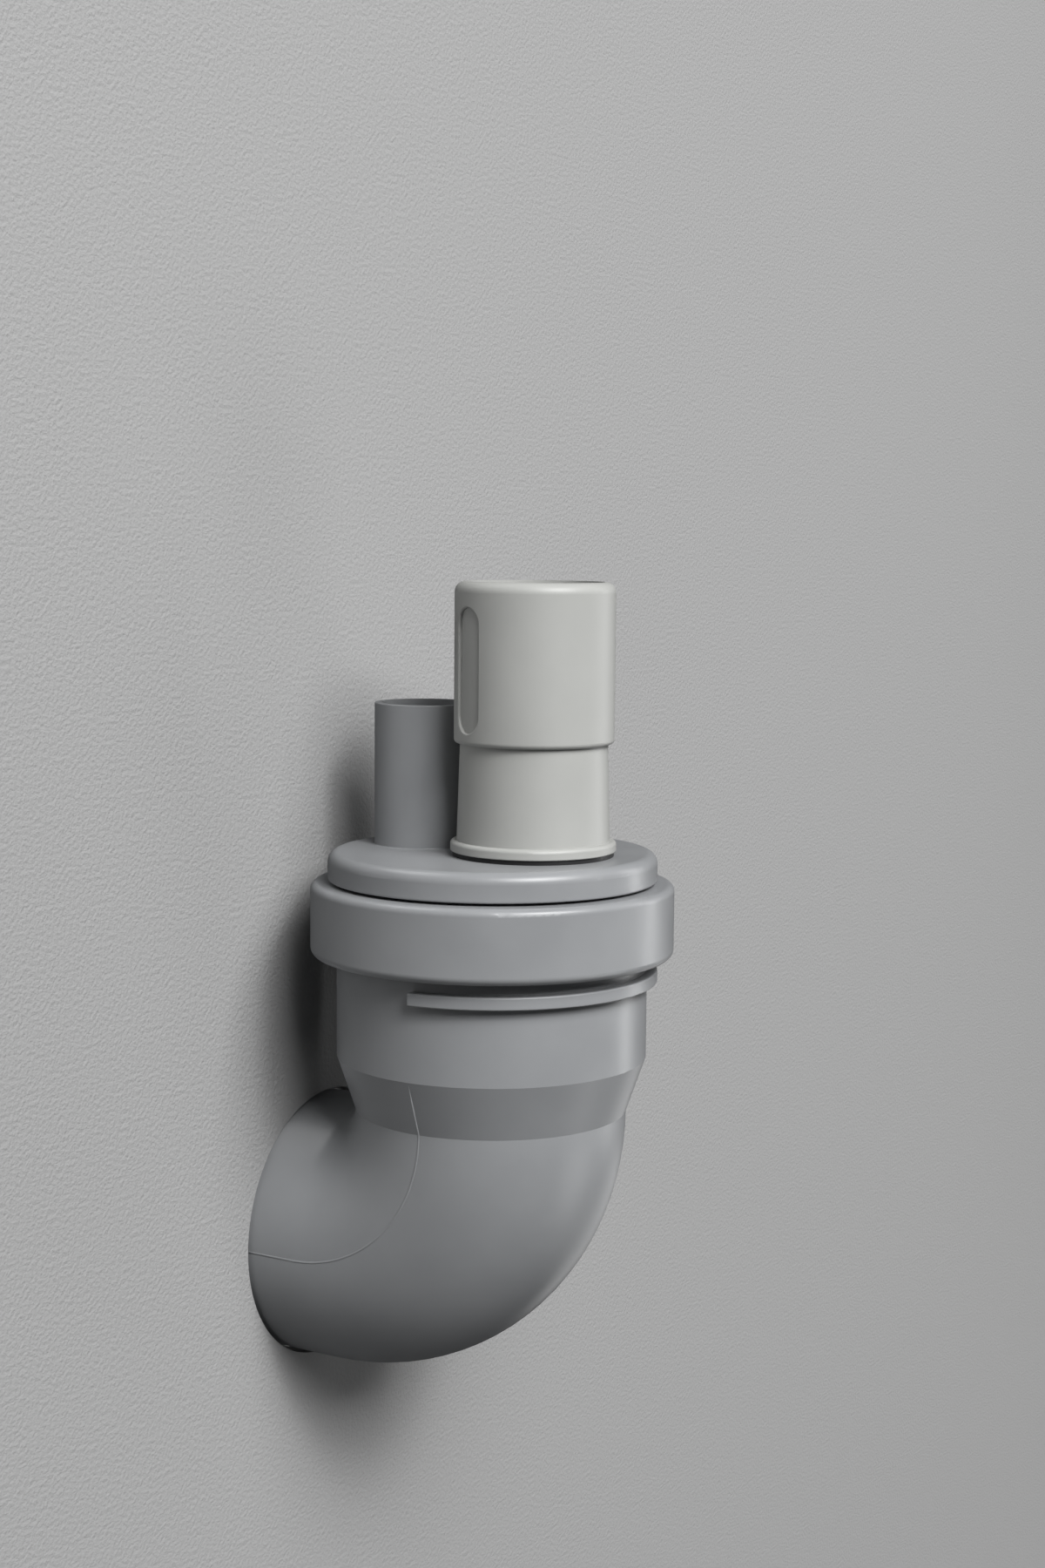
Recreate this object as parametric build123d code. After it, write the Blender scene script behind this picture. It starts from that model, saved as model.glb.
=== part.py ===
from build123d import *
import math
import os

# Waste pipe: the spigot enters the wall along +Y, the wall's face is the plane Y = 0.
pipe_od = 50.0
pipe_wall = 1.8
spigot_length = 45.0
spigot_lead = 4.0
spigot_lead_depth = 0.9
leg_length = 9.4
bend_inside = 2.3

# Socket above the bend.
cone_height = 10.1
socket_flare = 3.5
socket_wall = 2.2
ledge_width = 1.6
rib_rise = 14.0
rib_height = 2.3
rib_proud = 1.9
rib_round = 0.3
rib_setback = 0.95
snap_rise = 1.8
snap_height = 1.2
snap_proud = 0.7

# Collar that holds the lip seal.
collar_gap = 2.4
collar_thickness = 4.8
collar_height = 13.3
collar_round_top = 1.3
collar_round_bottom = 1.45
collar_roof = 2.5
collar_clearance = 0.2
chamber_wall = 2.2
socket_entry = 4.7

# Cap with two inlets.
cap_gap = 0.5
disc_inset = 0.25
disc_height = 5.2
disc_round = 1.95
disc_under_round = 0.35
inlets_turn = 84.0
skirt_wall = 1.8
skirt_clearance = 0.3
skirt_lead = 0.8

# Small hose stub.
stub_od = 18.9
stub_wall = 1.35
stub_height = 26.35
stub_foot = 0.2
stub_margin = 2.75
stub_floor = 2.5
stub_ledge = 1.9

# Larger inlet spigot, hidden in the coupler.
inlet_od = 23.6
inlet_wall = 1.8
inlet_height = 17.0
inlet_space = 0.4
groove_rise = 11.0
groove_height = 1.8
groove_depth = 0.8
ring_slack = 0.4

# Coupler for the machine's hose.
gasket_height = 0.85
gasket_inset = 0.4
coupler_clearance = 0.2
tube_wall = 1.85
tube_draft = 0.5
tube_rise = 19.4
flange_proud = 1.15
flange_height = 1.9
flange_round_top = 0.7
flange_round_bottom = 0.2
sleeve_step = 1.1
sleeve_wall = 2.0
sleeve_height = 28.9
sleeve_round_top = 1.9
sleeve_round_bottom = 0.8
hose_stop = 2.0
stop_gap = 0.4
recess_turn = 153.0
recess_width = 6.4
recess_drop = 4.5
recess_rise = 2.15
recess_depth = 0.6
recess_round = 0.25

# Radii of the elbow, the collar and the cap, each following from the one it fits.
pipe_r = pipe_od / 2
pipe_bore_r = pipe_r - pipe_wall
bend_radius = pipe_r + bend_inside
socket_r = pipe_r + socket_flare
socket_bore_r = socket_r - socket_wall
rib_r = socket_r + rib_proud
collar_r = socket_r + collar_thickness
chamber_r = collar_r - chamber_wall
skirt_r = socket_bore_r - skirt_clearance
skirt_bore_r = skirt_r - skirt_wall
disc_r = rib_r - disc_inset

# Radii of both inlets and of the coupler.
stub_r = stub_od / 2
stub_bore_r = stub_r - stub_wall
port_r = stub_bore_r - stub_ledge
inlet_r = inlet_od / 2
inlet_bore_r = inlet_r - inlet_wall
groove_r = inlet_r - groove_depth
tube_bore_r = inlet_r + coupler_clearance
tube_r = tube_bore_r + tube_wall
flange_r = tube_r + flange_proud
tube_top_r = tube_r - tube_draft
sleeve_r = tube_top_r + sleeve_step
hose_bore_r = sleeve_r - sleeve_wall

# Heights, from the bend upwards.
cone_z = bend_radius
socket_z = cone_z + cone_height
ledge_z = socket_z + ledge_width / 2
rib_z = socket_z + rib_rise
collar_z = rib_z + rib_height + collar_gap
snap_z = collar_z + snap_rise
mouth_z = collar_z + socket_entry
collar_top_z = collar_z + collar_height
roof_z = collar_top_z - collar_roof
cap_z = collar_top_z + cap_gap
disc_z = cap_z + disc_height
stub_floor_z = cap_z + stub_floor
stub_top_z = disc_z + stub_height
groove_z = disc_z + groove_rise
inlet_top_z = disc_z + inlet_height
flange_z = disc_z + gasket_height
flange_top_z = flange_z + flange_height
sleeve_z = flange_z + tube_rise
stop_z = inlet_top_z + stop_gap
hose_floor_z = max(stop_z, sleeve_z) + hose_stop
coupler_top_z = sleeve_z + sleeve_height

# Upright axes: the socket's and those of both inlets, which stand on one line through it.
socket_y = -(leg_length + bend_radius)
inlets_way = Vector(1, 0).rotate(Axis.Z, inlets_turn)
socket_axis = Vector(0, socket_y)
stub_axis = socket_axis + inlets_way * (disc_r - disc_round - stub_foot - stub_margin - stub_r)
inlet_axis = stub_axis - inlets_way * (stub_r + inlet_space + flange_r)


def turned(points, axis):
    """Ring made by turning a closed outline of (radius, height) points about an upright axis."""
    outline = Polyline([(r, 0, z) for r, z in points], close=True)
    return Pos(axis) * revolve(make_face(outline), Axis.Z, 360)


def upright(radius, low, high, axis):
    """Upright round bar between two heights."""
    bar = Cylinder(radius, high - low, align=(Align.CENTER, Align.CENTER, Align.MIN))
    return Pos(axis.X, axis.Y, low) * bar


def rounded(body, radius, height, size):
    """Body with its round edge of one radius and height rounded off."""
    chosen = [e for e in body.edges().filter_by(GeomType.CIRCLE)
              if math.isclose(e.radius, radius) and math.isclose(e.center().Z, height)]
    return fillet(chosen, size)


def bent_pipe(radius):
    """Solid core of the spigot, the leg and the bend."""
    tip = Plane((0, spigot_length, 0), x_dir=(1, 0, 0), z_dir=(0, -1, 0))
    straight = extrude(tip * Circle(radius), amount=spigot_length + leg_length)
    bend_start = Plane((0, -leg_length, 0), x_dir=(1, 0, 0), z_dir=(0, -1, 0))
    hinge = Axis((0, -leg_length, bend_radius), (-1, 0, 0))
    return straight + revolve(bend_start * Circle(radius), hinge, 90)


def half_rib():
    """Rib round the outward half of the socket, square at both ends."""
    low = rib_z
    high = rib_z + rib_height
    root = socket_r - socket_wall / 2
    ring = turned([(root, low), (rib_r, low), (rib_r, high), (root, high)], socket_axis)
    ring = rounded(ring, rib_r, low, rib_round)
    ring = rounded(ring, rib_r, high, rib_round)
    side = Box(3 * rib_r, 3 * rib_r, 3 * rib_height, align=(Align.CENTER, Align.MAX, Align.CENTER))
    return ring & (Pos(0, socket_y - rib_setback, low) * side)


def waste_elbow():
    """Spigot, bend, cone and socket in one moulding."""
    outer = bent_pipe(pipe_r)
    tip_face = outer.faces().sort_by(Axis.Y)[-1]
    outer = chamfer(tip_face.edges(), spigot_lead_depth, spigot_lead, reference=tip_face)
    snap_r = socket_r + snap_proud
    outer += turned([
        (0, cone_z), (pipe_r, cone_z), (socket_r, socket_z), (socket_r, snap_z),
        (snap_r, snap_z), (snap_r, snap_z + snap_height / 2), (socket_r, snap_z + snap_height),
        (socket_r, mouth_z), (0, mouth_z)], socket_axis)
    outer += half_rib()
    inner = bent_pipe(pipe_bore_r)
    inner += turned([
        (0, cone_z), (pipe_bore_r, cone_z), (socket_bore_r - ledge_width, ledge_z),
        (socket_bore_r, ledge_z), (socket_bore_r, mouth_z), (0, mouth_z)], socket_axis)
    return outer - inner


def seal_collar():
    """Ring that snaps over the socket's mouth and closes the seal's chamber from above."""
    hold_r = socket_r + collar_clearance
    snap_r = hold_r + snap_proud
    snap_top = snap_z + snap_height + collar_clearance
    body = turned([
        (hold_r, collar_z), (collar_r, collar_z), (collar_r, collar_top_z),
        (socket_bore_r, collar_top_z), (socket_bore_r, roof_z), (chamber_r, roof_z),
        (chamber_r, mouth_z), (hold_r, mouth_z), (hold_r, snap_top), (snap_r, snap_top),
        (snap_r, snap_z), (hold_r, snap_z)], socket_axis)
    body = rounded(body, collar_r, collar_top_z, collar_round_top)
    return rounded(body, collar_r, collar_z, collar_round_bottom)


def lip_seal():
    """Rubber ring in the collar, its lip leaning in and down against the skirt."""
    root = socket_r - socket_wall / 4
    lip = (roof_z - mouth_z) / 4
    return turned([
        (root, mouth_z), (chamber_r, mouth_z), (chamber_r, roof_z), (root, roof_z),
        (skirt_r, mouth_z + 2 * lip), (skirt_r, mouth_z + lip), (root, mouth_z + 2 * lip)], socket_axis)


def twin_inlet_cap():
    """Disc with a skirt below and two upstanding inlets that drain into the same chamber."""
    body = turned([
        (0, cap_z), (skirt_bore_r, cap_z), (skirt_bore_r, ledge_z), (skirt_r - skirt_lead, ledge_z),
        (skirt_r, ledge_z + 2 * skirt_lead), (skirt_r, cap_z), (disc_r, cap_z), (disc_r, disc_z),
        (0, disc_z)], socket_axis)
    body = rounded(body, disc_r, disc_z, disc_round)
    body = rounded(body, disc_r, cap_z, disc_under_round)
    body += upright(stub_r, stub_floor_z, stub_top_z, stub_axis)
    body = rounded(body, stub_r, disc_z, stub_foot)
    body = rounded(body, stub_r, stub_top_z, stub_foot)
    body += upright(inlet_r, stub_floor_z, inlet_top_z, inlet_axis)
    body -= upright(stub_bore_r, stub_floor_z, stub_top_z, stub_axis)
    body -= upright(port_r, cap_z, stub_floor_z, stub_axis)
    body -= upright(inlet_bore_r, cap_z, inlet_top_z, inlet_axis)
    groove_top = groove_z + groove_height
    groove = upright(inlet_r, groove_z, groove_top, inlet_axis)
    return body - (groove - upright(groove_r, groove_z, groove_top, inlet_axis))


def spigot_ring():
    """Rubber ring squeezed between the inlet's groove and the coupler's bore."""
    low = groove_z
    high = groove_z + groove_height - ring_slack
    edge = (tube_bore_r - groove_r) / 3
    return turned([
        (groove_r, low), (tube_bore_r - edge, low), (tube_bore_r, low + edge),
        (tube_bore_r, high - edge), (tube_bore_r - edge, high), (groove_r, high)], inlet_axis)


def coupler_gasket():
    """Flat ring between the coupler's flange and the disc."""
    rim_r = flange_r - gasket_inset
    return turned([
        (tube_bore_r, disc_z), (rim_r, disc_z), (rim_r, flange_z), (tube_bore_r, flange_z)], inlet_axis)


def finger_recess(turn):
    """Long shallow recess with round ends in one side of the sleeve."""
    low = sleeve_z + recess_rise
    high = coupler_top_z - recess_drop
    slot = Plane.YZ * SlotOverall(high - low, recess_width, rotation=90)
    bar = Pos(0, 0, (low + high) / 2) * extrude(slot, amount=2 * sleeve_r)
    bar = Pos(inlet_axis) * Rot(0, 0, turn) * bar
    return bar - upright(sleeve_r - recess_depth, sleeve_z, coupler_top_z, inlet_axis)


def with_recess(body, turn):
    """Coupler with one recess cut into its sleeve and the recess's outer rim rounded."""
    plain = body.edges()
    body -= finger_recess(turn)
    centre = (inlet_axis.X, inlet_axis.Y)
    middles = [(edge, edge @ 0.5) for edge in body.edges() - plain]
    rim = [edge for edge, m in middles if math.isclose(math.dist((m.X, m.Y), centre), sleeve_r)]
    return fillet(rim, recess_round)


def hose_coupler():
    """Flanged, tapered tube over the larger inlet, with a wider sleeve for the machine's hose."""
    body = turned([
        (tube_bore_r, flange_z), (flange_r, flange_z), (flange_r, flange_top_z),
        (tube_r, flange_top_z), (tube_top_r, sleeve_z), (sleeve_r, sleeve_z),
        (sleeve_r, coupler_top_z), (hose_bore_r, coupler_top_z), (hose_bore_r, hose_floor_z),
        (inlet_bore_r, hose_floor_z), (inlet_bore_r, stop_z), (tube_bore_r, stop_z)], inlet_axis)
    body = rounded(body, flange_r, flange_top_z, flange_round_top)
    body = rounded(body, flange_r, flange_z, flange_round_bottom)
    body = rounded(body, sleeve_r, coupler_top_z, sleeve_round_top)
    body = rounded(body, sleeve_r, sleeve_z, sleeve_round_bottom)
    body = with_recess(body, recess_turn)
    return with_recess(body, recess_turn + 180)


pieces = (waste_elbow, seal_collar, lip_seal, twin_inlet_cap, spigot_ring, coupler_gasket, hose_coupler)
os.makedirs("parts", exist_ok=True)
for piece in pieces:
    export_step(piece(), f"parts/{piece.__name__}.step")
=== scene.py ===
import bpy
import bmesh
import math
from mathutils import Matrix, Vector


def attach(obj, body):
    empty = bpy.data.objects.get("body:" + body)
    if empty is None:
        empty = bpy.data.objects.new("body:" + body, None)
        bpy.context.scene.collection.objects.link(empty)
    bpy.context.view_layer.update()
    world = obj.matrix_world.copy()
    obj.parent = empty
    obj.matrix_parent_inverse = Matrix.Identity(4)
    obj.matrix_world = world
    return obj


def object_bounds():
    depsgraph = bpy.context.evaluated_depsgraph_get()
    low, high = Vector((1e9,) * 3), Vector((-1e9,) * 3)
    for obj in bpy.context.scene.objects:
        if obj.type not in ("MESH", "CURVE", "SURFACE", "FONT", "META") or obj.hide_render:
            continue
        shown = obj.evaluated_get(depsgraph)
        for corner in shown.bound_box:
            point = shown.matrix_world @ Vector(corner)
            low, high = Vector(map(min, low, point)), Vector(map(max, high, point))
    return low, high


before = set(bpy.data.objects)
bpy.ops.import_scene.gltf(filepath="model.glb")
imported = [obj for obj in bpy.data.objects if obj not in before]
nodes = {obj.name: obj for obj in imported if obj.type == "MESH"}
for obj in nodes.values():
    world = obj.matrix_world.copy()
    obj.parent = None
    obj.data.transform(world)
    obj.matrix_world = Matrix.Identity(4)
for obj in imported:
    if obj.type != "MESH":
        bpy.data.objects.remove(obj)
cadLow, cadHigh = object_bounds()
scene = bpy.context.scene
scene.view_settings.view_transform = "Standard"
print("frame loaded:", sorted(nodes))


# small helpers for node trees and pieces

def newMaterial(name):
    material = bpy.data.materials.new(name)
    material.use_nodes = True
    tree = material.node_tree
    shader = tree.nodes["Principled BSDF"]
    return material, tree, shader


def objectPoints(tree):
    return tree.nodes.new("ShaderNodeTexCoord").outputs["Object"]


def noiseAt(tree, points, scale, detail=3.0, roughness=0.5):
    noise = tree.nodes.new("ShaderNodeTexNoise")
    noise.inputs["Scale"].default_value = scale
    noise.inputs["Detail"].default_value = detail
    noise.inputs["Roughness"].default_value = roughness
    tree.links.new(points, noise.inputs["Vector"])
    return noise.outputs["Fac"]


def colourBetween(tree, factor, dark, light, low=0.35, high=0.65):
    ramp = tree.nodes.new("ShaderNodeValToRGB")
    ramp.color_ramp.elements[0].position = low
    ramp.color_ramp.elements[1].position = high
    ramp.color_ramp.elements[0].color = (*dark, 1)
    ramp.color_ramp.elements[1].color = (*light, 1)
    tree.links.new(factor, ramp.inputs["Fac"])
    return ramp.outputs["Color"]


def valueBetween(tree, factor, low, high, fromLow=0.3, fromHigh=0.7):
    span = tree.nodes.new("ShaderNodeMapRange")
    span.inputs["From Min"].default_value = fromLow
    span.inputs["From Max"].default_value = fromHigh
    span.inputs["To Min"].default_value = low
    span.inputs["To Max"].default_value = high
    tree.links.new(factor, span.inputs["Value"])
    return span.outputs["Result"]


def bumpFrom(tree, height, strength, distance, onTop=None):
    bump = tree.nodes.new("ShaderNodeBump")
    bump.inputs["Strength"].default_value = strength
    bump.inputs["Distance"].default_value = distance
    tree.links.new(height, bump.inputs["Height"])
    if onTop is not None:
        tree.links.new(onTop, bump.inputs["Normal"])
    return bump.outputs["Normal"]


# moulded plastics and rubber

def mouldedPlastic(look):
    material, tree, shader = newMaterial(look["name"])
    points = objectPoints(tree)
    cloud = noiseAt(tree, points, look["cloudScale"], look["cloudDetail"])
    tree.links.new(colourBetween(tree, cloud, look["dark"], look["light"]), shader.inputs["Base Color"])
    grain = noiseAt(tree, points, look["grainScale"], look["grainDetail"])
    tree.links.new(valueBetween(tree, cloud, *look["roughness"]), shader.inputs["Roughness"])
    wave = bumpFrom(tree, cloud, look["waveStrength"], look["waveDepth"])
    skin = bumpFrom(tree, grain, look["grainStrength"], look["grainDepth"], wave)
    tree.links.new(skin, shader.inputs["Normal"])
    shader.inputs["Specular IOR Level"].default_value = look["specular"]
    return material


greyLook = {
    "name": "greyMoulding",
    "dark": (0.258, 0.265, 0.274),
    "light": (0.280, 0.287, 0.296),
    "roughness": (0.33, 0.39),
    "specular": 0.5,
    "cloudScale": 60.0,
    "cloudDetail": 4.0,
    "waveStrength": 0.15,
    "waveDepth": 0.0003,
    "grainScale": 3200.0,
    "grainDetail": 2.0,
    "grainStrength": 0.12,
    "grainDepth": 0.00004,
}
lightLook = dict(
    greyLook,
    name="lightMoulding",
    dark=(0.374, 0.378, 0.364),
    light=(0.398, 0.402, 0.387),
    roughness=(0.44, 0.50),
)

rubberLook = {
    "name": "blackRubber",
    "dark": (0.012, 0.012, 0.013),
    "light": (0.020, 0.020, 0.021),
    "roughness": (0.40, 0.48),
    "specular": 0.4,
    "cloudScale": 120.0,
    "cloudDetail": 4.0,
    "waveStrength": 0.2,
    "waveDepth": 0.0002,
    "grainScale": 2400.0,
    "grainDetail": 2.0,
    "grainStrength": 0.2,
    "grainDepth": 0.00005,
}
greyMoulding = mouldedPlastic(greyLook)
lightMoulding = mouldedPlastic(lightLook)
blackRubber = mouldedPlastic(rubberLook)

finishes = {
    "waste_elbow": greyMoulding,
    "seal_collar": greyMoulding,
    "twin_inlet_cap": greyMoulding,
    "hose_coupler": lightMoulding,
    "lip_seal": blackRubber,
    "spigot_ring": blackRubber,
    "coupler_gasket": blackRubber,
}
for nodeName, material in finishes.items():
    mesh = nodes[nodeName].data
    mesh.materials.clear()
    mesh.materials.append(material)
print("materials given to", len(finishes), "nodes")


# fine mould seam along both sides of the elbow, from the spigot round the bend and up the cone

seamLook = {
    "beadRadius": 0.00032,
    "proud": 0.00008,      # height over the pipe's skin
    "beadSides": 12,
    "spigotEnd": 0.0400,   # just short of the spigot's lead
    "pipeRadius": 0.0250,
    "legLength": 0.0094,
    "bendRadius": 0.0273,
    "bendSteps": 48,
    "coneHeight": 0.0101,
    "coneFlare": 0.0035,
    "coneStop": 0.0003,    # the bead dies out below the cone's upper edge
    "beadSink": 0.00008,   # its end goes down to the skin
    "weld": 0.000001,
}


def mouldSeam(name, look, side):
    form = bmesh.new()
    depth = look["pipeRadius"] + look["proud"] - look["beadRadius"]
    ring = bmesh.ops.create_circle(
        form, cap_ends=False, radius=look["beadRadius"], segments=look["beadSides"])
    place = Matrix.Translation((side * depth, look["spigotEnd"], 0))
    stand = place @ Matrix.Rotation(math.radians(90), 4, "X")
    bmesh.ops.transform(form, verts=ring["verts"], matrix=stand)
    start = list(form.edges)
    straight = bmesh.ops.extrude_edge_only(form, edges=start)["geom"]
    run = [v for v in straight if isinstance(v, bmesh.types.BMVert)]
    bmesh.ops.translate(form, verts=run, vec=(0, -look["spigotEnd"] - look["legLength"], 0))
    end = [e for e in straight if isinstance(e, bmesh.types.BMEdge) and set(e.verts) <= set(run)]
    hinge = (0, -look["legLength"], look["bendRadius"])
    turn = bmesh.ops.spin(form, geom=end + run, cent=hinge, axis=(-1, 0, 0),
                          angle=math.radians(90), steps=look["bendSteps"], use_merge=False)["geom_last"]
    top = [e for e in turn if isinstance(e, bmesh.types.BMEdge)]
    rise = bmesh.ops.extrude_edge_only(form, edges=top)["geom"]
    share = 1 - look["coneStop"] / look["coneHeight"]
    climb = (side * (look["coneFlare"] * share - look["beadSink"]), 0, look["coneHeight"] * share)
    peak = [v for v in rise if isinstance(v, bmesh.types.BMVert)]
    bmesh.ops.translate(form, verts=peak, vec=climb)
    bmesh.ops.holes_fill(form, edges=form.edges)
    bmesh.ops.remove_doubles(form, verts=form.verts, dist=look["weld"])
    bmesh.ops.recalc_face_normals(form, faces=form.faces)
    for face in form.faces:
        face.smooth = len(face.verts) == 4
    mesh = bpy.data.meshes.new(name)
    form.to_mesh(mesh)
    form.free()
    seam = bpy.data.objects.new(name, mesh)
    scene.collection.objects.link(seam)
    mesh.materials.append(greyMoulding)
    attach(seam, "root")


mouldSeam("seamLeft", seamLook, -1)
mouldSeam("seamRight", seamLook, 1)
print("mould seams laid on both sides")


# stage: the wall that the spigot goes into, and a floor

stageLook = {
    "wallReach": 1.5,
    "holeRadius": 0.0257,
    "holeDepth": 0.0025,
    "seatRadius": 0.02502,  # the hole closes to the pipe at its depth
    "holeSides": 96,
    "wallColour": (0.345, 0.345, 0.345),
    "wallRoughness": 0.85,
    "stippleScale": 1250.0,
    "stippleDetail": 2.0,
    "stippleRoughness": 0.55,
    "stippleStrength": 0.55,
    "stippleDepth": 0.0005,
    "floorDrop": 0.90,
    "floorSize": 4.0,
    "floorColour": (0.60, 0.60, 0.59),
    "floorRoughness": 0.7,
}


def stageObject(name, form, material):
    mesh = bpy.data.meshes.new(name)
    form.to_mesh(mesh)
    form.free()
    backdrop = bpy.data.objects.new(name, mesh)
    scene.collection.objects.link(backdrop)
    mesh.materials.append(material)
    return backdrop


def wallWithHole(look, material):
    form = bmesh.new()
    sides = look["holeSides"]
    bmesh.ops.create_circle(form, cap_ends=False, radius=look["holeRadius"], segments=sides)
    rim = list(form.edges)
    bmesh.ops.create_circle(form, cap_ends=False, radius=look["wallReach"], segments=sides)
    edge = [e for e in form.edges if e not in rim]
    bmesh.ops.bridge_loops(form, edges=rim + edge)
    lining = bmesh.ops.extrude_edge_only(form, edges=rim)["geom"]
    inner = [v for v in lining if isinstance(v, bmesh.types.BMVert)]
    bmesh.ops.translate(form, verts=inner, vec=(0, 0, -look["holeDepth"]))
    bottom = [e for e in lining if isinstance(e, bmesh.types.BMEdge) and set(e.verts) <= set(inner)]
    seat = bmesh.ops.extrude_edge_only(form, edges=bottom)["geom"]
    close = [v for v in seat if isinstance(v, bmesh.types.BMVert)]
    shrink = look["seatRadius"] / look["holeRadius"]
    bmesh.ops.scale(form, verts=close, vec=(shrink, shrink, 1))
    form.transform(Matrix.Rotation(math.radians(90), 4, "X"))  # the wall's face looks along -Y
    bmesh.ops.recalc_face_normals(form, faces=form.faces)
    form.faces.ensure_lookup_table()
    flat = next(f for f in form.faces if abs(f.normal.y) > 0.9)
    if flat.normal.y > 0:
        bmesh.ops.reverse_faces(form, faces=form.faces)
    wall = stageObject("wall", form, material)
    wall.visible_glossy = False  # dull plaster leaves no gleam on the plastic


def floorUnder(look, material):
    form = bmesh.new()
    bmesh.ops.create_grid(form, x_segments=1, y_segments=1, size=look["floorSize"] / 2)
    bmesh.ops.translate(form, verts=form.verts, vec=(0, 0, cadLow.z - look["floorDrop"]))
    floor = stageObject("floor", form, material)
    # the floor is far below, so it throws no light or gleam up at the elbow
    floor.visible_diffuse = False
    floor.visible_glossy = False


def plasterWall(look):
    material, tree, shader = newMaterial("plasterWall")
    points = objectPoints(tree)
    shader.inputs["Base Color"].default_value = (*look["wallColour"], 1)
    shader.inputs["Roughness"].default_value = look["wallRoughness"]
    stipple = noiseAt(tree, points, look["stippleScale"], look["stippleDetail"], look["stippleRoughness"])
    rough = bumpFrom(tree, stipple, look["stippleStrength"], look["stippleDepth"])
    tree.links.new(rough, shader.inputs["Normal"])
    # seen from behind, the wall lets the view and the light through
    clear = tree.nodes.new("ShaderNodeBsdfTransparent")
    mix = tree.nodes.new("ShaderNodeMixShader")
    facing = tree.nodes.new("ShaderNodeNewGeometry")
    tree.links.new(facing.outputs["Backfacing"], mix.inputs["Fac"])
    tree.links.new(shader.outputs["BSDF"], mix.inputs[1])
    tree.links.new(clear.outputs["BSDF"], mix.inputs[2])
    tree.links.new(mix.outputs["Shader"], tree.nodes["Material Output"].inputs["Surface"])
    return material


def paleFloor(look):
    material = newMaterial("paleFloor")[0]
    shader = material.node_tree.nodes["Principled BSDF"]
    shader.inputs["Base Color"].default_value = (*look["floorColour"], 1)
    shader.inputs["Roughness"].default_value = look["floorRoughness"]
    return material


wallWithHole(stageLook, plasterWall(stageLook))
floorUnder(stageLook, paleFloor(stageLook))
print("stage ready")


# light: a dim world, a key in front of the wall, gleams and fills on the right and below

partMiddle = (0.0, -0.036, 0.05)
spigotMiddle = (0.0, 0.03, 0.0)
lampLooks = {
    "keyBox": {"place": (-0.72, -1.74, 1.72), "aim": partMiddle, "size": (1.7, 1.4), "watts": 89.5},
    "keyCore": {"place": (-0.72, -1.74, 1.72), "aim": partMiddle, "size": (0.4, 0.4), "watts": 14.0},
    "rightStrip": {"place": (0.76, -0.56, 0.14), "aim": partMiddle, "size": (0.05, 0.80), "watts": 2.6},
    "rightFill": {"place": (0.76, -0.56, 0.14), "aim": partMiddle, "size": (0.05, 0.80), "watts": 0.5},
    "lowFill": {"place": (0.45, -1.05, -0.60), "aim": partMiddle, "size": (0.5, 0.5), "watts": 1.5},
    "underRim": {"place": (0.95, -0.10, -0.55), "aim": partMiddle, "size": (0.5, 0.5), "watts": 0.9},
    "rearBox": {"place": (-0.2, 0.7, 1.5), "aim": spigotMiddle, "size": (1.0, 0.6), "watts": 14.0},
}
airLook = {
    "dimColour": (0.9, 0.92, 0.95),
    "dimStrength": 0.02,
    "paleColour": (0.56, 0.56, 0.56),
}


def softBox(name, look):
    lamp = bpy.data.lights.new(name, "AREA")
    lamp.shape = "RECTANGLE"
    lamp.size, lamp.size_y = look["size"]
    lamp.energy = look["watts"]
    box = bpy.data.objects.new(name, lamp)
    box.location = look["place"]
    box.visible_camera = False
    box.rotation_mode = "QUATERNION"
    box.rotation_quaternion = (Vector(look["aim"]) - Vector(look["place"])).to_track_quat("-Z", "Y")
    scene.collection.objects.link(box)
    return box


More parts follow.
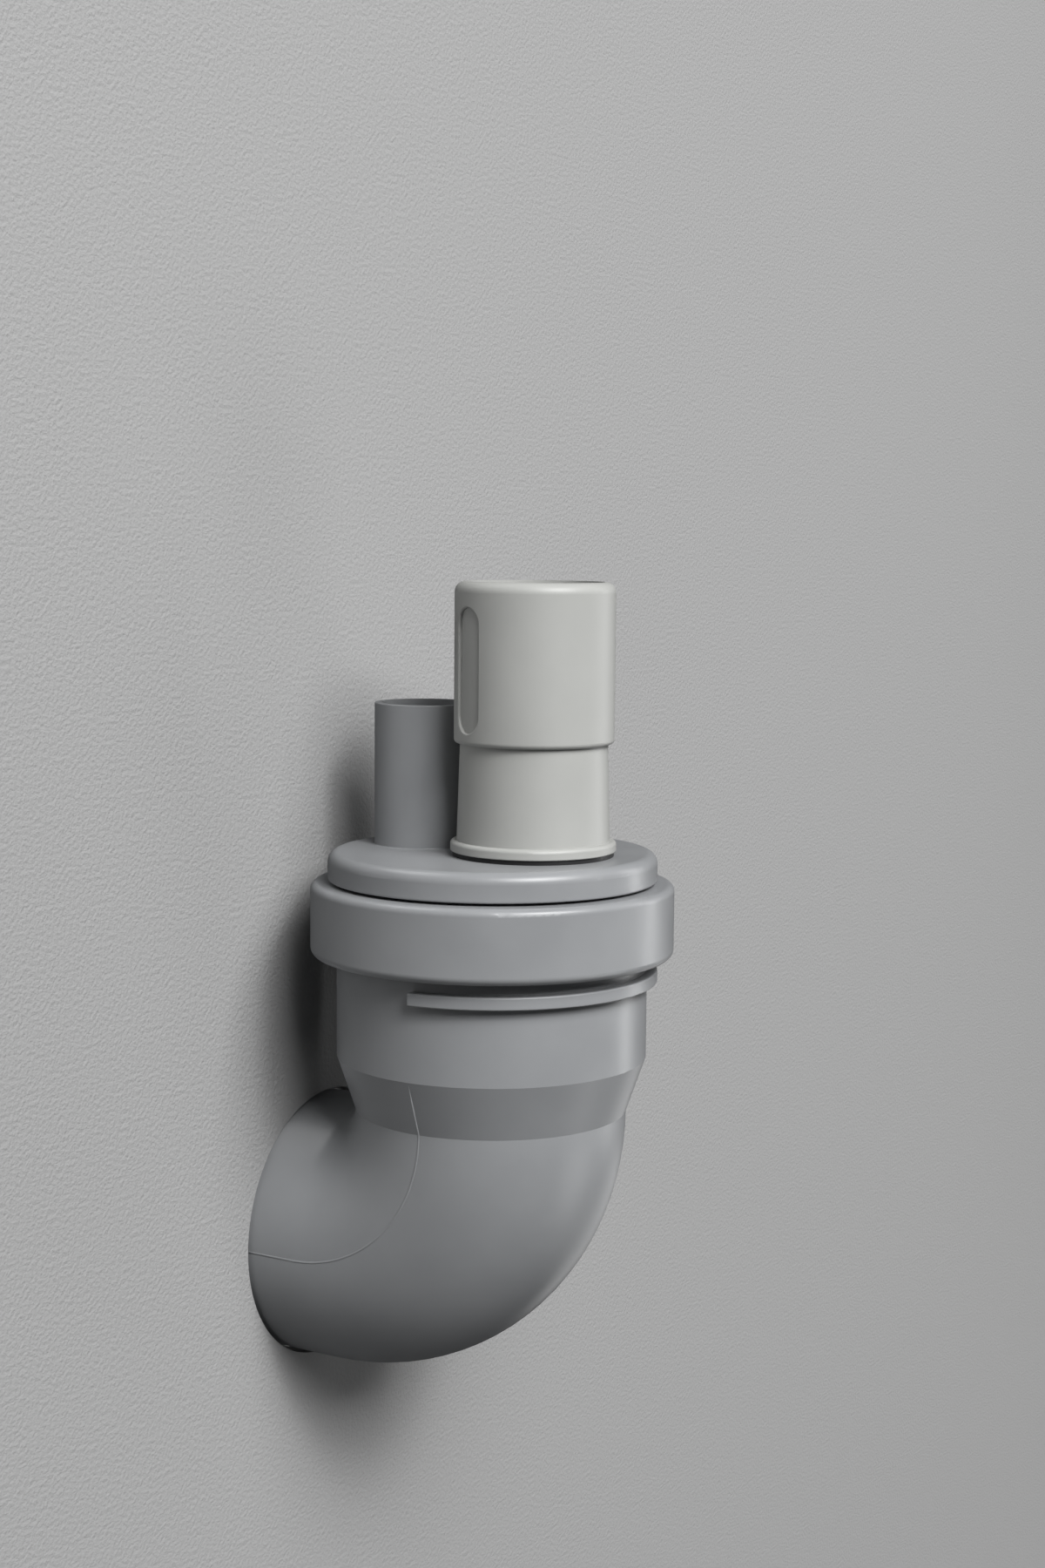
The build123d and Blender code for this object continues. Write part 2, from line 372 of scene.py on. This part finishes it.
def studioAir(look):
    world = bpy.data.worlds.new("studio")
    scene.world = world
    world.use_nodes = True
    air = world.node_tree
    dim = air.nodes["Background"]
    dim.inputs["Color"].default_value = (*look["dimColour"], 1)
    dim.inputs["Strength"].default_value = look["dimStrength"]
    # past the wall's edge the view meets a pale backdrop, which throws no light on the part
    pale = air.nodes.new("ShaderNodeBackground")
    pale.inputs["Color"].default_value = (*look["paleColour"], 1)
    seen = air.nodes.new("ShaderNodeLightPath")
    either = air.nodes.new("ShaderNodeMixShader")
    air.links.new(seen.outputs["Is Camera Ray"], either.inputs["Fac"])
    air.links.new(dim.outputs["Background"], either.inputs[1])
    air.links.new(pale.outputs["Background"], either.inputs[2])
    air.links.new(either.outputs["Shader"], air.nodes["World Output"].inputs["Surface"])


lamps = {name: softBox(name, look) for name, look in lampLooks.items()}
lamps["rightStrip"].visible_diffuse = False  # gleams on the right edges, and leaves the wall behind them dark
studioAir(airLook)
print("lights ready")


# camera: fitted to the rims and outlines seen in the photograph, a frame of 1200 by 1800

view = {
    "place": (-0.361353, -0.249896, 0.132664),
    "azimuth": 60.186,
    "pitch": 6.172,
    "roll": 0.52,
    "focalPixels": 2654.6,
    "framePixels": 1800,
    "sensorWidth": 36.0,
    "clipStart": 0.01,
    "clipEnd": 50.0,
}


def photoCamera(view):
    data = bpy.data.cameras.new("photoView")
    data.sensor_width = view["sensorWidth"]
    data.lens = view["focalPixels"] / view["framePixels"] * view["sensorWidth"]
    data.clip_start = view["clipStart"]
    data.clip_end = view["clipEnd"]
    camera = bpy.data.objects.new("photoView", data)
    azimuth = math.radians(view["azimuth"])
    pitch = math.radians(view["pitch"])
    level = math.cos(pitch)
    ahead = Vector((math.sin(azimuth) * level, math.cos(azimuth) * level, -math.sin(pitch)))
    camera.rotation_mode = "QUATERNION"
    upright = ahead.to_track_quat("-Z", "Y")
    lean = Matrix.Rotation(math.radians(view["roll"]), 4, "Z").to_quaternion()
    camera.rotation_quaternion = upright @ lean
    camera.location = view["place"]
    scene.collection.objects.link(camera)
    scene.camera = camera


photoCamera(view)
print("camera ready")
